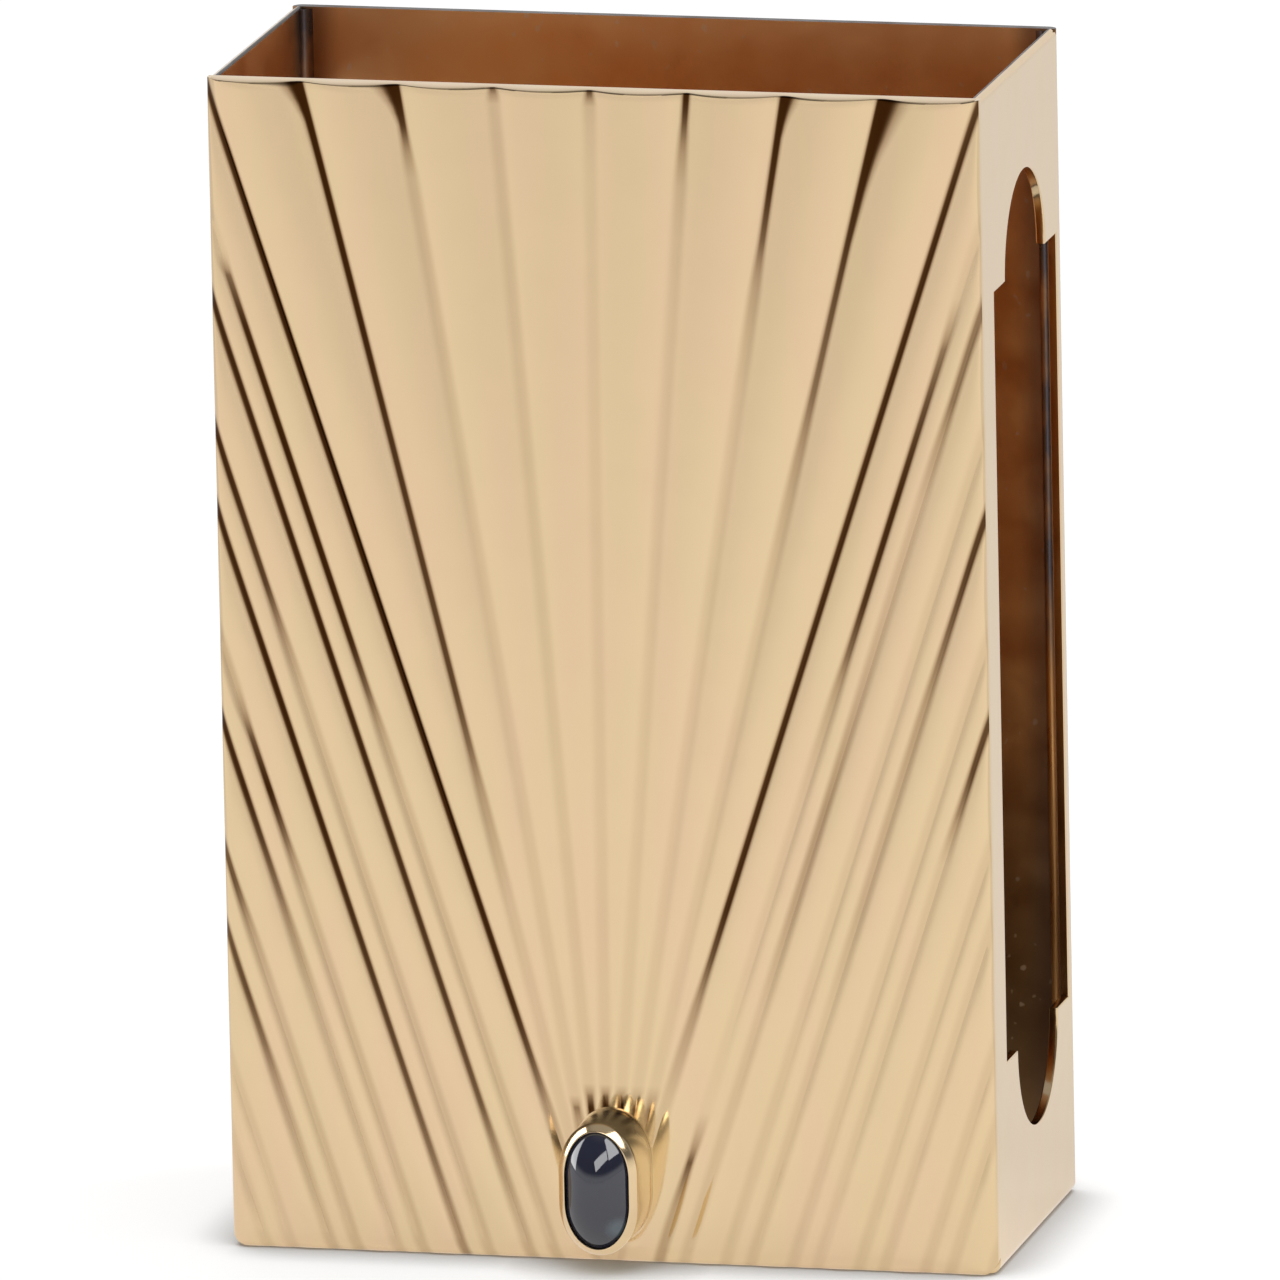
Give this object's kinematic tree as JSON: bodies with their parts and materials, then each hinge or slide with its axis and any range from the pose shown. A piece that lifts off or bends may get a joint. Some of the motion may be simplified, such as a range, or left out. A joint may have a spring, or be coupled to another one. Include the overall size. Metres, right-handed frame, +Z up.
{
  "type": "match safe",
  "caption": "Open gold sleeve for a pocket matchbox, with a reeded sunburst front, arched striker windows in its sides and an oval cabochon in a collet at its foot.",
  "frame": {"origin": "under the middle of the whole object, on the surface that it stands on", "axes": "+Z up from the foot to the open top, -Y out of the reeded front, +X to the right seen from the front"},
  "size_m": [0.0374, 0.0212, 0.057],
  "materials": {
    "gold": "polished pale yellow gold",
    "stone": "polished dark blue cabochon"
  },
  "bodies": {
    "root": {"front_panel": "gold", "back_panel": "gold", "left_wall": "gold", "right_wall": "gold", "foot_rim": "gold", "collet": "gold", "stone_bearing": "gold", "cabochon": "stone"}
  },
  "joints": []
}
